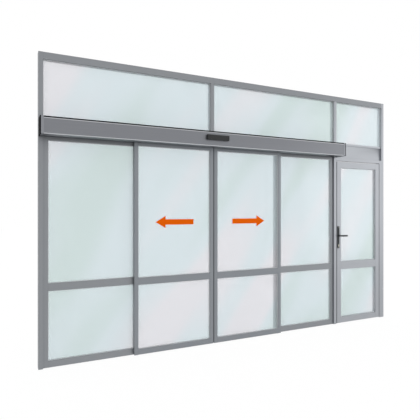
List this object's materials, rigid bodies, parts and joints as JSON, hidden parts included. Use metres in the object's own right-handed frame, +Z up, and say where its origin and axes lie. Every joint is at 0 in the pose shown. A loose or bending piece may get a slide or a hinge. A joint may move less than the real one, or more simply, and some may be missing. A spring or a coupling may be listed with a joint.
{
  "type": "automatic sliding door",
  "caption": "Automatic sliding glass door with an overhead operator in a glazed screen, with top lights and a hinged side door with a lever handle.",
  "frame": {"origin": "centre of the left jamb's foot, on the floor", "axes": "+X to the right along the front, +Y from the front to the back, +Z up; the operator and the sliding leaves are on the -Y side"},
  "size_m": [4.53, 0.324, 3],
  "materials": {
    "frame_metal": "satin anodised grey profile",
    "leaf_metal": "satin anodised grey profile",
    "door_metal": "satin anodised grey profile",
    "glass": "satin milky glass",
    "cover_metal": "satin anodised grey sheet",
    "cap_plastic": "fine grain",
    "gear_steel": "zinc plated",
    "motor_body": "matt dark grey",
    "dark_plastic": "matt black",
    "roller_plastic": "natural white",
    "seal_rubber": "matt black",
    "arrow_film": "orange film",
    "handle_metal": "dark grey, satin",
    "cylinder_metal": "nickel plated"
  },
  "bodies": {
    "frame": {"left_jamb": "frame_metal", "right_jamb": "frame_metal", "head_rail": "frame_metal", "door_post": "frame_metal", "top_mullion": "frame_metal", "transom_beam": "frame_metal", "door_transom": "frame_metal", "door_head": "frame_metal", "door_side_frame": "frame_metal", "top_panes": "glass", "screen_stiles": "leaf_metal", "screen_rails": "leaf_metal", "screen_panes": "glass", "floor_guides": "gear_steel", "carrier": "cover_metal", "running_rail": "gear_steel", "cover": "cover_metal", "end_caps": "cap_plastic", "sensor": "dark_plastic", "motor": "motor_body", "idler": "gear_steel", "belt": "seal_rubber", "control_unit": "dark_plastic", "frame_hinges": "handle_metal"},
    "left_leaf": {"left_leaf_stiles": "leaf_metal", "left_leaf_rails": "leaf_metal", "left_leaf_panes": "glass", "left_leaf_carriages": "gear_steel", "left_leaf_rollers": "roller_plastic", "left_leaf_seal": "seal_rubber", "left_leaf_arrow": "arrow_film"},
    "right_leaf": {"right_leaf_stiles": "leaf_metal", "right_leaf_rails": "leaf_metal", "right_leaf_panes": "glass", "right_leaf_carriages": "gear_steel", "right_leaf_rollers": "roller_plastic", "right_leaf_seal": "seal_rubber", "right_leaf_arrow": "arrow_film"},
    "side_door": {"door_stiles": "door_metal", "door_rails": "door_metal", "door_panes": "glass", "door_plates": "handle_metal", "door_cylinder": "cylinder_metal", "door_hinges": "handle_metal"},
    "lever": {"levers": "handle_metal", "spindle": "gear_steel"}
  },
  "joints": [
    {"name": "left_leaf_slide", "type": "slide", "parent": "frame", "child": "left_leaf", "axis": [-1, 0, 0], "range_m": [0, 0.86]},
    {"name": "right_leaf_slide", "type": "slide", "parent": "frame", "child": "right_leaf", "axis": [1, 0, 0], "range_m": [0, 0.86]},
    {"name": "side_door_hinge", "type": "hinge", "parent": "frame", "child": "side_door", "pos_m": [4.425, 0.032, 1.08], "axis": [0, 0, -1], "range_deg": [0, 95]},
    {"name": "lever_turn", "type": "hinge", "parent": "side_door", "child": "lever", "pos_m": [3.674, -0.04, 1.164], "axis": [0, 1, 0], "range_deg": [0, 40], "stiffness_Nm_per_rad": 1.5, "springref_deg": -34.38}
  ],
  "couplings": [
    {"joint": "right_leaf_slide", "follows": "left_leaf_slide", "ratio": 1}
  ]
}
